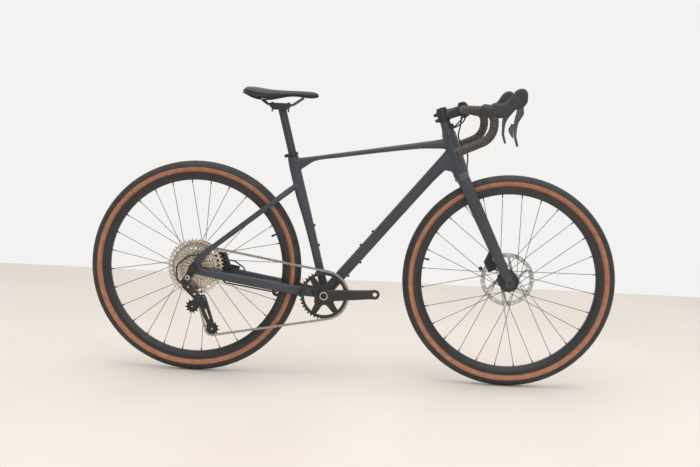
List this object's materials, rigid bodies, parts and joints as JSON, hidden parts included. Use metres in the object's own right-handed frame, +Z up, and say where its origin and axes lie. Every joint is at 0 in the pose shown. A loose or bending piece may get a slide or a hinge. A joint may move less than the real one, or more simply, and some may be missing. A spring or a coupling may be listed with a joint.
{
  "type": "gravel bicycle",
  "caption": "Drop-bar gravel bicycle with disc brakes, wide-range rear gears and tan-wall tyres, supplied without pedals; wheels, cranks, steering, levers and derailleur move.",
  "frame": {"origin": "on the ground, midway between the two wheel axles, in the bike's middle plane", "axes": "+X forward, +Y to the rider's left, +Z up"},
  "size_m": [1.76, 0.5062, 0.991],
  "materials": {
    "frame_paint": "matte dark slate paint",
    "black_alloy": "satin black anodised",
    "grey_alloy": "satin dark grey anodised",
    "steel": "brushed steel",
    "black_steel": "black oxide steel",
    "bearing_steel": "ground steel",
    "saddle_skin": "satin black cover over foam",
    "black_plastic": "matte black moulded",
    "hood_rubber": "matte black rubber hood",
    "tape": "wrapped brown-black tape",
    "hose_jacket": "black hose jacket",
    "tyre": "black tread with tan side walls",
    "rim": "satin black anodised",
    "pad": "sintered pad"
  },
  "bodies": {
    "frame": {"main_frame": "frame_paint", "rear_triangle": "frame_paint", "derailleur_hanger": "black_alloy", "headset_bearings": "bearing_steel", "bottom_bracket_cups": "black_alloy", "seat_collar": "frame_paint", "frame_bolts": "black_steel", "rear_axle": "black_alloy", "rear_brake_caliper": "black_alloy", "frame_hoses": "hose_jacket", "derailleur_knuckle": "black_alloy", "chain": "steel"},
    "seat_post": {"seat_post": "grey_alloy", "saddle_cradle": "black_alloy", "saddle_rails": "black_steel", "saddle_shell": "black_plastic", "saddle_cover": "saddle_skin"},
    "steering": {"fork": "frame_paint", "headset_cover": "black_plastic", "stem": "black_alloy", "stem_faceplate": "black_alloy", "steering_fasteners": "black_steel", "handlebar": "black_alloy", "bar_tape": "tape", "bar_plugs": "black_plastic", "right_lever_body": "hood_rubber", "left_lever_body": "hood_rubber", "steering_hoses": "hose_jacket", "front_brake_caliper": "black_alloy", "front_axle": "black_alloy"},
    "right_lever": {"right_brake_lever": "grey_alloy"},
    "left_lever": {"left_brake_lever": "grey_alloy"},
    "paddle": {"shift_paddle": "black_plastic"},
    "front_wheel": {"front_tyre": "tyre", "front_rim": "rim", "front_valve": "grey_alloy", "front_spokes": "black_steel", "front_hub": "black_alloy", "front_rotor": "steel"},
    "rear_wheel": {"rear_tyre": "tyre", "rear_rim": "rim", "rear_valve": "grey_alloy", "rear_spokes": "black_steel", "rear_hub": "black_alloy", "rear_rotor": "steel"},
    "crank": {"right_crank": "black_alloy", "left_crank": "black_alloy", "chainring": "black_alloy"},
    "cassette": {"cassette": "steel", "freehub_body": "grey_alloy"},
    "outer_link": {"derailleur_outer_link": "black_alloy"},
    "inner_link": {"derailleur_inner_link": "black_alloy"},
    "lower_knuckle": {"derailleur_lower_knuckle": "black_alloy"},
    "cage": {"derailleur_cage": "black_alloy"},
    "guide_pulley": {"guide_pulley": "black_plastic"},
    "tension_pulley": {"tension_pulley": "black_plastic"},
    "front_pad_right": {"front_pad_right": "pad"},
    "front_pad_left": {"front_pad_left": "pad"},
    "rear_pad_right": {"rear_pad_right": "pad"},
    "rear_pad_left": {"rear_pad_left": "pad"}
  },
  "joints": [
    {"name": "steering", "type": "hinge", "parent": "frame", "child": "steering", "pos_m": [0.34586, 0, 0.71121], "axis": [-0.342, 0, 0.9397], "range_deg": [-60, 60]},
    {"name": "seat_post_slide", "type": "slide", "parent": "frame", "child": "seat_post", "axis": [-0.2656, 0, 0.9641], "range_m": [-0.08, 0.05]},
    {"name": "right_lever_pull", "type": "hinge", "parent": "steering", "child": "right_lever", "pos_m": [0.51016, -0.208, 0.93635], "axis": [0, 1, 0], "range_deg": [0, 20], "stiffness_Nm_per_rad": 1.5},
    {"name": "left_lever_pull", "type": "hinge", "parent": "steering", "child": "left_lever", "pos_m": [0.51016, 0.208, 0.93635], "axis": [0, 1, 0], "range_deg": [0, 20], "stiffness_Nm_per_rad": 1.5},
    {"name": "paddle_push", "type": "hinge", "parent": "right_lever", "child": "paddle", "pos_m": [0.4989, -0.208, 0.87629], "axis": [1, 0, 0], "range_deg": [0, 18], "stiffness_Nm_per_rad": 0.3},
    {"name": "front_wheel_spin", "type": "hinge", "parent": "steering", "child": "front_wheel", "pos_m": [0.525, 0, 0.355], "axis": [0, 1, 0], "continuous": true},
    {"name": "rear_wheel_spin", "type": "hinge", "parent": "frame", "child": "rear_wheel", "pos_m": [-0.525, 0, 0.355], "axis": [0, 1, 0], "continuous": true},
    {"name": "crank_spin", "type": "hinge", "parent": "frame", "child": "crank", "pos_m": [-0.088, 0, 0.2835], "axis": [0, 1, 0], "continuous": true, "deforming": ["chain"]},
    {"name": "cassette_spin", "type": "hinge", "parent": "frame", "child": "cassette", "pos_m": [-0.525, 0, 0.355], "axis": [0, 1, 0], "continuous": true},
    {"name": "outer_link_swing", "type": "hinge", "parent": "frame", "child": "outer_link", "pos_m": [-0.546, -0.09234, 0.2995], "axis": [0.7452, 0, 0.6668], "range_deg": [-36, 4], "stiffness_Nm_per_rad": 6},
    {"name": "inner_link_swing", "type": "hinge", "parent": "frame", "child": "inner_link", "pos_m": [-0.546, -0.07634, 0.2995], "axis": [0.7452, 0, 0.6668], "range_deg": [-36, 4]},
    {"name": "lower_knuckle_swing", "type": "hinge", "parent": "outer_link", "child": "lower_knuckle", "pos_m": [-0.512, -0.07234, 0.2615], "axis": [0.7452, 0, 0.6668], "range_deg": [-4, 36]},
    {"name": "cage_swing", "type": "hinge", "parent": "lower_knuckle", "child": "cage", "pos_m": [-0.49866, 0, 0.2466], "axis": [0, -1, 0], "range_deg": [-18, 35], "stiffness_Nm_per_rad": 3},
    {"name": "guide_pulley_spin", "type": "hinge", "parent": "cage", "child": "guide_pulley", "pos_m": [-0.52981, 0, 0.2215], "axis": [0, 1, 0], "continuous": true},
    {"name": "tension_pulley_spin", "type": "hinge", "parent": "cage", "child": "tension_pulley", "pos_m": [-0.46127, 0, 0.14848], "axis": [0, 1, 0], "continuous": true},
    {"name": "front_pad_right_slide", "type": "slide", "parent": "steering", "child": "front_pad_right", "axis": [0, 1, 0], "range_m": [0, 0.0003]},
    {"name": "front_pad_left_slide", "type": "slide", "parent": "steering", "child": "front_pad_left", "axis": [0, -1, 0], "range_m": [0, 0.0003]},
    {"name": "rear_pad_right_slide", "type": "slide", "parent": "frame", "child": "rear_pad_right", "axis": [0, 1, 0], "range_m": [0, 0.0003]},
    {"name": "rear_pad_left_slide", "type": "slide", "parent": "frame", "child": "rear_pad_left", "axis": [0, -1, 0], "range_m": [0, 0.0003]}
  ],
  "couplings": [
    {"joint": "cassette_spin", "follows": "crank_spin", "ratio": 1.0811},
    {"joint": "guide_pulley_spin", "follows": "crank_spin", "ratio": -3.6364},
    {"joint": "tension_pulley_spin", "follows": "crank_spin", "ratio": 3.6364},
    {"joint": "inner_link_swing", "follows": "outer_link_swing", "ratio": 1},
    {"joint": "lower_knuckle_swing", "follows": "outer_link_swing", "ratio": -1},
    {"joint": "front_pad_right_slide", "follows": "left_lever_pull", "m_per_rad": 0.000859},
    {"joint": "front_pad_left_slide", "follows": "left_lever_pull", "m_per_rad": 0.000859},
    {"joint": "rear_pad_right_slide", "follows": "right_lever_pull", "m_per_rad": 0.000859},
    {"joint": "rear_pad_left_slide", "follows": "right_lever_pull", "m_per_rad": 0.000859}
  ]
}
